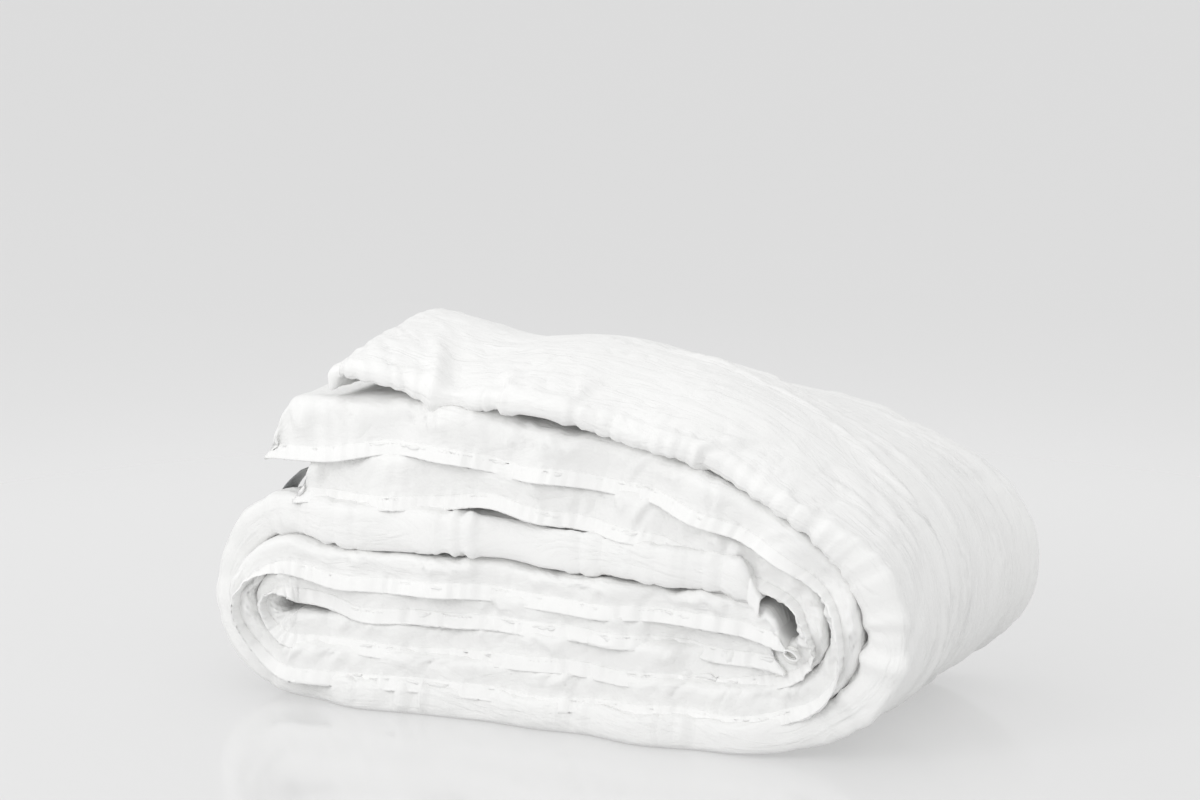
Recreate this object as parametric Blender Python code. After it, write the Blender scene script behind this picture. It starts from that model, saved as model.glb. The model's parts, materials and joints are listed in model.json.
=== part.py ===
import math

import bmesh
import bpy
from mathutils import Vector

# A down duvet, folded lengthwise in four and rolled one and a half turns. Lengths are in metres.
# A point of the duvet has three numbers: where it lies across the folded stack, how far it lies
# along the wrap, and how high it lies in its ply. One function folds and rolls it into place.

# Overall sizes
roll_length = 0.678            # left bend to right bend, outside
stack_depth = 0.371            # front fold to the back of the outer fold
left_bend_radius = 0.0597      # of the wrap line, round the tight left bend

# Thickness of the two plies outside the wrap line and of the two inside it
loose_outer, loose_inner = 0.040, 0.096
shoulder_outer, shoulder_inner = 0.048, 0.080
right_outer, right_inner = 0.041, 0.050
under_outer, under_inner = 0.030, 0.050
left_outer, left_inner = 0.030, 0.044
middle_outer, middle_inner = 0.036, 0.048
tail_outer, tail_inner = 0.018, 0.046

# Where the wrap line turns
loose_end_from_left = 0.078    # the loose end stops short of the left bend
shoulder_from_right = 0.258
shoulder_heading = -10.0
right_bend_rise = 0.083        # from the lower run to where the right bend stands upright
right_bend_run = 0.136
rest_gap = 0.003               # the top run hangs this far over the middle run
eye_width = 0.036
tail_drop = 0.0137             # the inner end sinks this far
tail_heading = -6.0

# Plies
ply_gap = 0.0010               # air between two plies that lie on each other
skin = 0.0008                  # shell panel
clearance = 0.0004             # between a panel and what it holds
fold_squash = 0.62             # depth of a fold against its height
hem_taper = 0.026              # over which a ply thins towards its hem
hem_share = 0.45               # ply thickness left at a hem
edge_setback = 0.006           # open hems lie this far behind the front fold

# Inner walls
boxes_along = 5
baffle_thickness = 0.0006
fold_wall = 0.02               # a fold baffle's width, as a share of the fold's half turn
fold_room = 0.08               # down stops this share of a half turn short of a fold baffle

# The loose end lifts about its first seam
lift_box = 1
cut_gap = 0.0004               # half of the cut between the loose end and the roll

# Trim
binding_width = 0.013
label_width = 0.034
label_length = 0.042
label_thickness = 0.0012
label_from_front = 0.030
label_lean = 38.0              # degrees out from hanging straight, where it rests against the roll
stud_radius = 0.0080
stud_height = 0.0022
stud_from_tail = 1.160         # along the wrap, back from the inner end
stud_from_front = 0.012
stud_cap_lift = 0.0014         # clears the hollow of the bend under the cap
loop_width = 0.008
loop_reach = 0.014
loop_thickness = 0.0012

# Facets
arc_steps = 2                  # in each quarter of a fold
knot_steps = (4, 5, 4, 3, 4, 4, 4)
fine_steps = 24                # samples of the wrap line between two facets
station_room = 0.012           # two rings of points lie at least this far apart
quarter_handle = 0.5523        # handle of a round quarter, as a share of its radius


def wrap_knots():
    """The wrap line from the loose end to the inner end: it runs between the second and third ply.

    Each knot holds across, height, heading in degrees, handle back, handle ahead, and the
    thickness outside and inside.
    """
    left = -roll_length / 2 + left_outer
    right = roll_length / 2 - right_outer
    turn = left + left_bend_radius
    handle = left_bend_radius * quarter_handle
    under = under_outer
    middle = under + 2 * left_bend_radius
    shelf = middle + middle_outer + rest_gap
    shoulder = right - shoulder_from_right + right_outer
    run = (right - left) / 5
    tail = right - right_inner - eye_width
    return (
        (left + loose_end_from_left - left_outer, shelf + loose_inner, 4.0, 0.0, run,
         loose_outer, loose_inner),
        (shoulder, shelf + shoulder_inner, shoulder_heading, run, run * 0.8,
         shoulder_outer, shoulder_inner),
        (right, under + right_bend_rise, -91.0, 0.085, 0.055, right_outer, right_inner),
        (right - right_bend_run, under, -180.0, 0.075, run, under_outer, under_inner),
        (turn, under, -180.0, run, handle, under_outer, middle_inner),
        (left, under + left_bend_radius, -270.0, handle, handle, left_outer, left_inner),
        (turn, middle, -360.0, handle, run, middle_outer, middle_inner),
        (tail, middle - tail_drop, tail_heading - 360.0, run, 0.0, tail_outer, tail_inner),
    )


def blend(a, b, share):
    return a + (b - a) * share


def hermite_point(a, b, t):
    """Point, heading and thicknesses on the stretch of the wrap line from knot a to knot b."""
    ends = []
    for knot, reach in ((a, a[4]), (b, -b[3])):
        corner = Vector((knot[0], knot[1]))
        heading = Vector((math.cos(math.radians(knot[2])), math.sin(math.radians(knot[2]))))
        ends.append((corner, corner + heading * reach))
    p0, p1 = ends[0]
    p3, p2 = ends[1]
    s = 1 - t
    point = p0 * s**3 + p1 * 3 * s * s * t + p2 * 3 * s * t * t + p3 * t**3
    slope = (p1 - p0) * 3 * s * s + (p2 - p1) * 6 * s * t + (p3 - p2) * 3 * t * t
    if slope.length < 1e-9:
        slope = p3 - p0
    ease = t * t * (3 - 2 * t)
    return point, slope.normalized(), blend(a[5], b[5], ease), blend(a[6], b[6], ease)


def sample_wrap():
    """Stations along the wrap: distance, point, outward direction, outer and inner thickness."""
    knots = wrap_knots()
    fine = []
    for index, steps in enumerate(knot_steps):
        count = steps * fine_steps
        for step in range(count):
            fine.append(hermite_point(knots[index], knots[index + 1], step / count))
    fine.append(hermite_point(knots[-2], knots[-1], 1.0))
    distance = 0.0
    rows = []
    for index, (point, heading, outer, inner) in enumerate(fine):
        if index:
            distance += (point - fine[index - 1][0]).length
        rows.append((distance, point, Vector((-heading.y, heading.x)), outer, inner))
    return rows


wrap = sample_wrap()
wrap_length = wrap[-1][0]
seams = [wrap_length * row / boxes_along for row in range(boxes_along + 1)]
lift_seam = seams[lift_box]


def wrap_at(distance):
    """The wrap's row at a distance along it, between two fine rows."""
    for low, high in zip(wrap, wrap[1:]):
        if distance <= high[0]:
            break
    share = (distance - low[0]) / (high[0] - low[0])
    return (distance, low[1].lerp(high[1], share), low[2].lerp(high[2], share).normalized(),
            blend(low[3], high[3], share), blend(low[4], high[4], share))


def station_list():
    """The distances at which every piece has a ring of points, box seams among them."""
    fixed = seams + [hem_taper, wrap_length - hem_taper]
    marks = list(fixed)
    index = 0
    for steps in knot_steps:
        for step in range(steps):
            mark = wrap[index + step * fine_steps][0]
            if all(abs(mark - other) > station_room for other in fixed):
                marks.append(mark)
        index += steps * fine_steps
    return sorted(marks)


stations = station_list()
rings = [wrap_at(distance) for distance in stations]


def ring_at(distance):
    """A ring between two stations lies on the straight facet that joins them."""
    for low, high in zip(rings, rings[1:]):
        if distance <= high[0]:
            break
    share = (distance - low[0]) / (high[0] - low[0])
    return (low[1].lerp(high[1], share), low[2].lerp(high[2], share),
            blend(low[3], high[3], share), blend(low[4], high[4], share))


# Across the stack, a whole number is the end of a ply or of a fold, in the order of the cloth:
# 0 hem B, 0-1 third ply, 1-2 inner back fold, 2-3 second ply, 3-4 front fold, 4-5 outermost ply,
# 5-6 outer back fold, 6-7 innermost ply, 7 hem C.
def ply_level(ply, outer, inner):
    """Middle of a ply above the wrap line, its half thickness, and which way its upper panel faces."""
    levels = {
        3: (-0.25 * inner, 0.25 * inner - ply_gap / 2, 1),
        2: (0.25 * outer, 0.25 * outer - ply_gap / 2, -1),
        1: (0.75 * outer, 0.25 * outer - ply_gap / 2, 1),
        4: (-0.75 * inner, 0.25 * inner - ply_gap / 2, -1),
    }
    return levels[ply]


ply_order = (3, 2, 1, 4)
back_of_stack = stack_depth - fold_squash * (loose_outer + loose_inner) / 2
hem_run = back_of_stack - edge_setback - binding_width
hem_marks = (hem_taper / hem_run, 7 - hem_taper / hem_run)
lane_spans = (
    (3.5 + fold_room, 5.5 - fold_room),
    (1.5 + fold_room, 3.5 - fold_room),
    (0.0, 1.5 - fold_room),
    (5.5 + fold_room, 7.0),
)


def front_of_stack(outer):
    return fold_squash * outer / 2


def taper(across, distance):
    """Share of the ply's thickness: plies thin towards their hems and towards the duvet's ends."""
    from_hem = max(0.0, min(across, 7.0 - across)) * hem_run
    from_end = min(max(distance, 0.0), max(wrap_length - distance, 0.0))
    share = 1.0
    for reach in (from_hem, from_end):
        share *= blend(hem_share, 1.0, min(1.0, reach / hem_taper))
    return max(share, hem_share)


def half_thickness(across, distance):
    outer, inner = ring_at(distance)[2:]
    slot = min(3, max(0, int((across + 0.5) // 2)))
    ply = ply_order[slot]
    if 0 < across < 7 and int(across) % 2 == 1:
        first = ply_level(ply_order[int(across) // 2], outer, inner)[1]
        second = ply_level(ply_order[int(across) // 2 + 1], outer, inner)[1]
        full = min(first, second)
    else:
        full = ply_level(ply, outer, inner)[1]
    return full * taper(across, distance)


def place(across, distance, level):
    """Folds and rolls one point. level is -1 at the lower panel's face and 1 at the upper's.

    In a fold, a point between two facet lines lies on the straight facet.
    """
    part = math.floor(across)
    if 0 < across < 7 and part % 2:
        step = (across - part) * 2 * arc_steps
        share = step - math.floor(step + 1e-9)
        low = part + math.floor(step + 1e-9) / (2 * arc_steps)
        if share > 1e-6:
            high = low + 1 / (2 * arc_steps)
            return place_exactly(low, distance, level).lerp(place_exactly(high, distance, level), share)
    return place_exactly(across, distance, level)


def place_exactly(across, distance, level):
    point, outward, outer, inner = ring_at(distance)
    thin = taper(across, distance)
    front = front_of_stack(outer)
    part = int(min(6, max(0, math.floor(across))))
    share = across - part
    if part % 2 == 0:
        middle, half, facing = ply_level(ply_order[part // 2], outer, inner)
        height = middle + facing * half * thin * level
        near = {0: edge_setback + binding_width, 6: edge_setback + binding_width}.get(part, front)
        forward = part in (2, 6)
        depth = blend(back_of_stack, near, share) if forward else blend(near, back_of_stack, share)
    else:
        heights = []
        for ply in (ply_order[part // 2], ply_order[part // 2 + 1]):
            middle, half, facing = ply_level(ply, outer, inner)
            heights.append(middle + facing * half * thin * level)
        centre = (heights[0] + heights[1]) / 2
        radius = (heights[0] - heights[1]) / 2
        height = centre + radius * math.cos(math.pi * share)
        reach = fold_squash * abs(radius) * math.sin(math.pi * share)
        depth = front - reach if part == 3 else back_of_stack + reach
    spot = point + outward * height
    return Vector((spot.x, depth, spot.y))


def across_marks(start, stop):
    """Points across the stack from start to stop, with the folds' own facets in between."""
    marks = []
    for part in range(7):
        count = 2 * arc_steps if part % 2 else 2
        for step in range(count + 1):
            mark = part + step / count
            marks.append(mark)
    marks += hem_marks
    kept = {round(mark, 6) for mark in marks if start + 0.001 < mark < stop - 0.001}
    return sorted(kept | {start, stop})


def along_marks(start, stop):
    inner = [mark for mark in stations if start + station_room / 4 < mark < stop - station_room / 4]
    return [start] + inner + [stop]


def make_material(name, color, roughness):
    material = bpy.data.materials.new(name)
    material.use_nodes = True
    shader = material.node_tree.nodes["Principled BSDF"]
    shader.inputs["Base Color"].default_value = (*color, 1.0)
    shader.inputs["Roughness"].default_value = roughness
    shader.inputs["Metallic"].default_value = 0.0
    return material


def finish_object(name, bm, material):
    bmesh.ops.recalc_face_normals(bm, faces=bm.faces)
    if bm.calc_volume(signed=True) < 0:
        bmesh.ops.reverse_faces(bm, faces=bm.faces)
    mesh = bpy.data.meshes.new(name)
    bm.to_mesh(mesh)
    bm.free()
    piece = bpy.data.objects.new(name, mesh)
    bpy.context.scene.collection.objects.link(piece)
    mesh.materials.append(material)
    return piece


def cloth_block(name, across, along, low, high, material):
    """A closed slab of the duvet: ranges across and along, between two levels in the ply.

    A level is (side, inset): side -1 is the lower panel's face and 1 the upper's, and inset is
    how far the slab's face lies inside it.
    """
    bm = bmesh.new()
    bmesh.ops.create_grid(bm, x_segments=len(across) - 1, y_segments=len(along) - 1, size=0.5)
    top = bmesh.ops.extrude_face_region(bm, geom=bm.faces[:], use_keep_orig=True)
    raised = {v for v in top["geom"] if isinstance(v, bmesh.types.BMVert)}
    for vertex in bm.verts:
        column = round((vertex.co.x + 0.5) * (len(across) - 1))
        row = round((vertex.co.y + 0.5) * (len(along) - 1))
        side, inset = high if vertex in raised else low
        half = half_thickness(across[column], along[row])
        level = side * max(0.0, 1 - inset / half) if side else 0.0
        vertex.co = place(across[column], along[row], level)
    return finish_object(name, bm, material)


def solid_disc(name, centre, axis, radius, thickness, rim, material):
    """A round button, its edge rounded on the outer face."""
    bm = bmesh.new()
    bmesh.ops.create_cone(bm, cap_ends=True, segments=24, radius1=radius, radius2=radius, depth=thickness)
    edges = [e for e in bm.edges if all(v.co.z > 0 for v in e.verts)]
    bmesh.ops.bevel(bm, geom=edges, offset=rim, segments=2, profile=0.5, affect="EDGES")
    turn = Vector((0, 0, 1)).rotation_difference(axis).to_matrix()
    for vertex in bm.verts:
        vertex.co = centre + turn @ (vertex.co + Vector((0, 0, thickness / 2)))
    piece = finish_object(name, bm, material)
    piece.data.shade_smooth()
    piece.data.set_sharp_from_angle(angle=math.radians(40))
    return piece


def make_panels(shell):
    panel_start = binding_width
    panel_stop = wrap_length - binding_width
    for side, panel in ((1, "upper_shell"), (-1, "lower_shell")):
        for start, stop, part in ((panel_start, lift_seam - cut_gap, "loose_end"),
                                  (lift_seam + cut_gap, panel_stop, "roll")):
            cloth_block(f"{panel}_{part}", across_marks(0.0, 7.0), along_marks(start, stop),
                        (side, skin), (side, 0.0), shell)


def cut_room(box):
    """Extra room at the lift seam, which holds the cut and the whole cross baffle."""
    return cut_gap + baffle_thickness + clearance if box == lift_box else 0.0


def make_fill(down):
    inset = skin + clearance
    wall = baffle_thickness / 2 + clearance
    for lane, (start, stop) in enumerate(lane_spans, start=1):
        for box in range(boxes_along):
            low = binding_width + clearance if box == 0 else seams[box] + wall + cut_room(box)
            high = seams[box + 1] - wall - cut_room(box + 1)
            if box == boxes_along - 1:
                high = wrap_length - binding_width - clearance
            cloth_block(f"down_pocket_lane{lane}_box{box + 1}", across_marks(start, stop),
                        along_marks(low, high), (-1, inset), (1, inset), down)


def make_cross_baffles(tape):
    inset = skin + clearance
    for lane, (start, stop) in enumerate(lane_spans, start=1):
        for box in range(1, boxes_along):
            middle = seams[box] + (cut_gap + baffle_thickness / 2 + clearance if box == lift_box else 0)
            cloth_block(f"cross_baffle_lane{lane}_{box}", across_marks(start, stop),
                        [middle - baffle_thickness / 2, middle + baffle_thickness / 2],
                        (-1, inset), (1, inset), tape)


def make_fold_baffles(tape):
    inset = skin + clearance
    for number, across in ((1, 1.5), (2, 3.5), (3, 5.5)):
        half = fold_wall / 2
        for start, stop, part in ((binding_width + clearance, lift_seam - cut_gap, "loose_end"),
                                  (lift_seam + cut_gap, wrap_length - binding_width - clearance, "roll")):
            cloth_block(f"fold_baffle_{number}_{part}", [across - half, across + half],
                        along_marks(start, stop), (-1, inset), (1, inset), tape)


def make_bindings(tape):
    width = (binding_width - clearance) / hem_run
    gap = clearance / hem_run
    for edge, start, stop in (("b", -gap - width, -gap), ("c", 7 + gap, 7 + gap + width)):
        for low, high, part in ((binding_width, lift_seam - cut_gap, "loose_end"),
                                (lift_seam + cut_gap, wrap_length - binding_width, "roll")):
            cloth_block(f"side_binding_{edge}_{part}", [start, stop], along_marks(low, high),
                        (-1, 0.0), (1, 0.0), tape)
    for low, high, part in ((0.0, binding_width - clearance, "loose_end"),
                            (wrap_length - binding_width + clearance, wrap_length, "inner_end")):
        cloth_block(f"end_binding_{part}", across_marks(0.0, 7.0), [low, high],
                    (-1, 0.0), (1, 0.0), tape)


def label_hinge():
    """The label's sewn edge, just off the loose end of the innermost ply."""
    edge = place(7.0, 0.0, 0.0)
    return Vector((edge.x - clearance - label_thickness / 2, 0.0, edge.z))


def make_label(material):
    """Hangs from its sewn edge, leaning out over the roll below."""
    lean = math.radians(label_lean)
    down_label = Vector((-math.sin(lean), 0.0, -math.cos(lean)))
    through = Vector((-math.cos(lean), 0.0, math.sin(lean)))
    seam = label_hinge() + Vector((0.0, label_from_front + label_width / 2, 0.0))
    bm = bmesh.new()
    bmesh.ops.create_cube(bm, size=1.0)
    for vertex in bm.verts:
        vertex.co = (seam + down_label * ((0.5 - vertex.co.z) * label_length)
                     + through * (vertex.co.x * label_thickness)
                     + Vector((0.0, vertex.co.y * label_width, 0.0)))
    return finish_object("care_label", bm, material)


def make_stud(material):
    """Two halves of a press stud, one on each face of the innermost ply's hem, near the eye."""
    distance = wrap_length - stud_from_tail
    across = 7 - stud_from_front / hem_run
    for name, level, lift in (("press_stud_cap", 1, stud_cap_lift), ("press_stud_socket", -1, clearance)):
        centre = place(across, distance, level)
        ahead = place(across, distance + 0.004, level) - place(across, distance - 0.004, level)
        inward = place(across - 0.006 / hem_run, distance, level) - place(across + 0.006 / hem_run, distance, level)
        axis = ahead.cross(inward).normalized()
        if axis.dot(centre - place(across, distance, 0.0)) < 0:
            axis = -axis
        solid_disc(name, centre + axis * lift, axis, stud_radius, stud_height, stud_height * 0.4, material)


def make_corner_loop(tape):
    """A short loop of tape past the inner end's hem: two legs and a closed bow, one strip."""
    edge = place(0.0, wrap_length, 0.0)
    ahead = (edge - place(0.0, wrap_length - 0.004, 0.0)).normalized()
    bm = bmesh.new()
    bmesh.ops.create_cone(bm, cap_ends=False, segments=20, radius1=loop_reach / 2,
                          radius2=loop_reach / 2, depth=loop_width)
    ring = bmesh.ops.extrude_face_region(bm, geom=bm.faces[:], use_keep_orig=True)
    inner = {v for v in ring["geom"] if isinstance(v, bmesh.types.BMVert)}
    middle = edge + ahead * (clearance + loop_reach / 2)
    for vertex in bm.verts:
        radius = loop_reach / 2 - (loop_thickness if vertex in inner else 0.0)
        angle = math.atan2(vertex.co.y, vertex.co.x)
        vertex.co = middle + Vector((math.cos(angle) * radius, vertex.co.z + loop_width, math.sin(angle) * radius))
    piece = finish_object("corner_loop", bm, tape)
    piece.data.shade_smooth()
    piece.data.set_sharp_from_angle(angle=math.radians(40))
    return piece


def centre_on_footprint():
    """Moves every mesh so that the origin is the middle of the footprint, on the floor."""
    pieces = [o for o in bpy.context.scene.objects if o.type == "MESH"]
    corners = [v.co for o in pieces for v in o.data.vertices]
    low = Vector(min(c[i] for c in corners) for i in range(3))
    high = Vector(max(c[i] for c in corners) for i in range(3))
    shift = Vector((-(low.x + high.x) / 2, -(low.y + high.y) / 2, -low.z))
    for piece in pieces:
        for vertex in piece.data.vertices:
            vertex.co += shift
    return shift, high - low


def main():
    for old in list(bpy.data.objects):
        bpy.data.objects.remove(old, do_unlink=True)
    cotton = make_material("down_proof_cotton", (0.90, 0.91, 0.92), 0.75)
    down = make_material("down_filling", (0.88, 0.87, 0.84), 0.95)
    tape = make_material("cotton_tape", (0.87, 0.88, 0.89), 0.80)
    label_cloth = make_material("label_cloth", (0.55, 0.57, 0.58), 0.70)
    stud_plastic = make_material("stud_plastic", (0.90, 0.90, 0.90), 0.35)
    make_panels(cotton)
    make_fill(down)
    make_cross_baffles(tape)
    make_fold_baffles(tape)
    make_bindings(tape)
    make_label(label_cloth)
    make_stud(stud_plastic)
    make_corner_loop(tape)
    moved, size = centre_on_footprint()
    seam_row = wrap_at(lift_seam)
    hinge = seam_row[1] + seam_row[2] * (seam_row[3] - ply_gap / 2)
    label_top = label_hinge()
    print("size", [round(side, 4) for side in size])
    print("lift axis", round(hinge.x + moved.x, 5), round(hinge.y + moved.z, 5))
    print("label axis", round(label_top.x + moved.x, 5), round(label_top.z + moved.z, 5))


main()
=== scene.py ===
import json
import math

import bmesh
import bpy
import numpy as np
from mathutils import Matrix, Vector


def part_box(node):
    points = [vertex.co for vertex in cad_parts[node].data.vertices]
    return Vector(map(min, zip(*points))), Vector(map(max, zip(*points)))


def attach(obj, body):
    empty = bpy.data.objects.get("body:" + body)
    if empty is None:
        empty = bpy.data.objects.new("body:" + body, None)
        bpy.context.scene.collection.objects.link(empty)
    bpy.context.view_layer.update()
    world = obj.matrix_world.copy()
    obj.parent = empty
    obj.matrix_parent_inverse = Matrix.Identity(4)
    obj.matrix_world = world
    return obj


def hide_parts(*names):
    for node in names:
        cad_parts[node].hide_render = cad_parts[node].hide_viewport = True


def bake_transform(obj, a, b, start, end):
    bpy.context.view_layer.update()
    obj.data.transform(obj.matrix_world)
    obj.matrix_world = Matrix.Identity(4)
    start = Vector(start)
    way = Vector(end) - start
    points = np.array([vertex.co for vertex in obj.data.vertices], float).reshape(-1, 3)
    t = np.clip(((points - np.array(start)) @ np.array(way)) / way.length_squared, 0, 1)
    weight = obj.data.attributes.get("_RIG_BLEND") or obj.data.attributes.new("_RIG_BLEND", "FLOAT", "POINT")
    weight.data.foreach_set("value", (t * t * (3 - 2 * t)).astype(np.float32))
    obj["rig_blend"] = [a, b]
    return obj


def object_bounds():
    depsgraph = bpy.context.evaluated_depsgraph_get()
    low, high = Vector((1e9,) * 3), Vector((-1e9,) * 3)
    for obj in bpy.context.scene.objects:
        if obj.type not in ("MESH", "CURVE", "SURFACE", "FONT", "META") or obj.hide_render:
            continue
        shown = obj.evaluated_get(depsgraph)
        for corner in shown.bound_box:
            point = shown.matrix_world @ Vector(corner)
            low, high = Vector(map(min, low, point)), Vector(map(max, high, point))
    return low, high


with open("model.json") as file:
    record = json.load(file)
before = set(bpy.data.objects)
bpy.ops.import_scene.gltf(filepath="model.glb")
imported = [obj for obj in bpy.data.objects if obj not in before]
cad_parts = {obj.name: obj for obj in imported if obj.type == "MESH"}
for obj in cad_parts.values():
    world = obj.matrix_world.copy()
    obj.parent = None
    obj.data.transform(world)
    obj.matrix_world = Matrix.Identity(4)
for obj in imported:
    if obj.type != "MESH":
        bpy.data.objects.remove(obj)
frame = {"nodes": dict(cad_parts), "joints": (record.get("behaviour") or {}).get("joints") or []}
cadLow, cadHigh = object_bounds()
print("frame loaded", [round(c, 4) for c in (*cadLow, *cadHigh)])


def linearColour(hexColour):
    # sRGB hex to the linear values that Blender's sockets take
    parts = [int(hexColour[i:i + 2], 16) / 255 for i in (1, 3, 5)]
    return [c / 12.92 if c <= 0.04045 else ((c + 0.055) / 1.055) ** 2.4 for c in parts] + [1.0]


def ripple(seed, waves, shortest, longest, lean=1.0):
    # a smooth, random, wavy field over two lengths in metres; lean above 1 draws it out along the second
    rng = np.random.default_rng(seed)
    angle = rng.uniform(0, 2 * np.pi, waves)
    size = 2 * np.pi / np.exp(rng.uniform(np.log(shortest), np.log(longest), waves))
    phase = rng.uniform(0, 2 * np.pi, waves)

    def field(a, b):
        total = np.zeros(np.broadcast(a, b).shape)
        for i in range(waves):
            total = total + np.sin(size[i] * (np.cos(angle[i]) * a + np.sin(angle[i]) * b / lean) + phase[i])
        return total / math.sqrt(waves / 2)
    return field


def smoothStep(low, high, value):
    t = np.clip((value - low) / (high - low), 0, 1)
    return t * t * (3 - 2 * t)


# The wrap line runs between the second and third ply, from the loose end to the inner end, as in the frame.
wrapValues = {
    "leftOuter": 0.030, "leftInner": 0.052, "leftRadius": 0.0597,
    "rightOuter": 0.041, "rightInner": 0.059, "rightRise": 0.083, "rightRun": 0.136,
    "underOuter": 0.030, "underInner": 0.065,
    "middleOuter": 0.036, "middleInner": 0.058,
    "tailOuter": 0.031, "tailInner": 0.050, "tailDrop": 0.0100, "eyeWidth": 0.032,
    "looseOuter": 0.040, "looseInner": 0.096, "looseFromLeft": 0.078, "restGap": 0.003,
    "shoulderOuter": 0.048, "shoulderInner": 0.080, "shoulderFromRight": 0.258,
    "plyGap": 0.0010, "foldSquash": 0.62, "samples": 160,
}


def buildWrap():
    v = wrapValues
    left = cadLow.x + v["leftOuter"]
    right = cadHigh.x - v["rightOuter"]
    turn = left + v["leftRadius"]
    round4 = v["leftRadius"] * 0.5523
    under = v["underOuter"] - v["plyGap"] / 2
    middle = under + 2 * v["leftRadius"]
    shelf = middle + v["middleOuter"] + v["restGap"]
    run = (right - left) / 5
    # across, height, heading, handle back, handle ahead, thickness outside and inside
    knots = [
        (left + v["looseFromLeft"] - v["leftOuter"], shelf + v["looseInner"], 4, 0, run,
         v["looseOuter"], v["looseInner"]),
        (cadHigh.x - v["shoulderFromRight"], shelf + v["shoulderInner"], -10, run, run * 0.8,
         v["shoulderOuter"], v["shoulderInner"]),
        (right, under + v["rightRise"], -91, 0.085, 0.055, v["rightOuter"], v["rightInner"]),
        (right - v["rightRun"], under, -180, 0.075, run, v["underOuter"], v["underInner"]),
        (turn, under, -180, run, round4, v["underOuter"], v["middleInner"]),
        (left, under + v["leftRadius"], -270, round4, round4, v["leftOuter"], v["leftInner"]),
        (turn, middle, -360, round4, run, v["middleOuter"], v["middleInner"]),
        (right - v["rightInner"] - v["eyeWidth"], middle - v["tailDrop"], -366, run, 0,
         v["tailOuter"], v["tailInner"]),
    ]
    points, outward, thick = [], [], []
    t = np.linspace(0, 1, v["samples"], endpoint=False)
    for index, (a, b) in enumerate(zip(knots, knots[1:])):
        if index == len(knots) - 2:
            t = np.linspace(0, 1, v["samples"] + 1)
        headA, headB = (np.array([math.cos(math.radians(k[2])), math.sin(math.radians(k[2]))]) for k in (a, b))
        p0, p3 = np.array(a[:2]), np.array(b[:2])
        p1, p2 = p0 + headA * a[4], p3 - headB * b[3]
        s, u = (1 - t)[:, None], t[:, None]
        points.append(p0 * s**3 + p1 * 3 * s * s * u + p2 * 3 * s * u * u + p3 * u**3)
        slope = (p1 - p0) * s * s + (p2 - p1) * 2 * s * u + (p3 - p2) * u * u
        slope[np.linalg.norm(slope, axis=1) < 1e-9] = p3 - p0
        slope /= np.linalg.norm(slope, axis=1)[:, None]
        outward.append(np.stack([-slope[:, 1], slope[:, 0]], 1))
        ease = (t * t * (3 - 2 * t))[:, None]
        thick.append(np.array(a[5:]) + (np.array(b[5:]) - np.array(a[5:])) * ease)
    points, outward, thick = (np.concatenate(x) for x in (points, outward, thick))
    distance = np.concatenate([[0], np.cumsum(np.linalg.norm(np.diff(points, axis=0), axis=1))])
    return {"distance": distance, "point": points, "outward": outward, "thick": thick}


wrap = buildWrap()
wrapLength = wrap["distance"][-1]
sLeftBend = wrap["distance"][int(np.argmin(wrap["point"][:, 0]))]
sRightBend = wrap["distance"][int(np.argmax(wrap["point"][:, 0]))]
print("wrap line", round(wrapLength, 4), "m")


def wrapAt(s):
    # point, outward direction and the two thicknesses at each distance; past the ends it runs straight on
    inside = np.clip(s, 0, wrapLength)
    values = np.stack([np.interp(inside, wrap["distance"], column)
                       for column in np.hstack([wrap["point"], wrap["outward"], wrap["thick"]]).T], -1)
    point, outward, thick = values[..., :2], values[..., 2:4], values[..., 4:]
    outward = outward / np.linalg.norm(outward, axis=-1, keepdims=True)
    ahead = np.stack([outward[..., 1], -outward[..., 0]], -1)
    point = point + ahead * (s - inside)[..., None]
    return point, outward, thick


def riseAt(s, place, height, width):
    # a smooth rise about one place along the wrap
    return height * np.exp(-((s - place) / width) ** 2)


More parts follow.
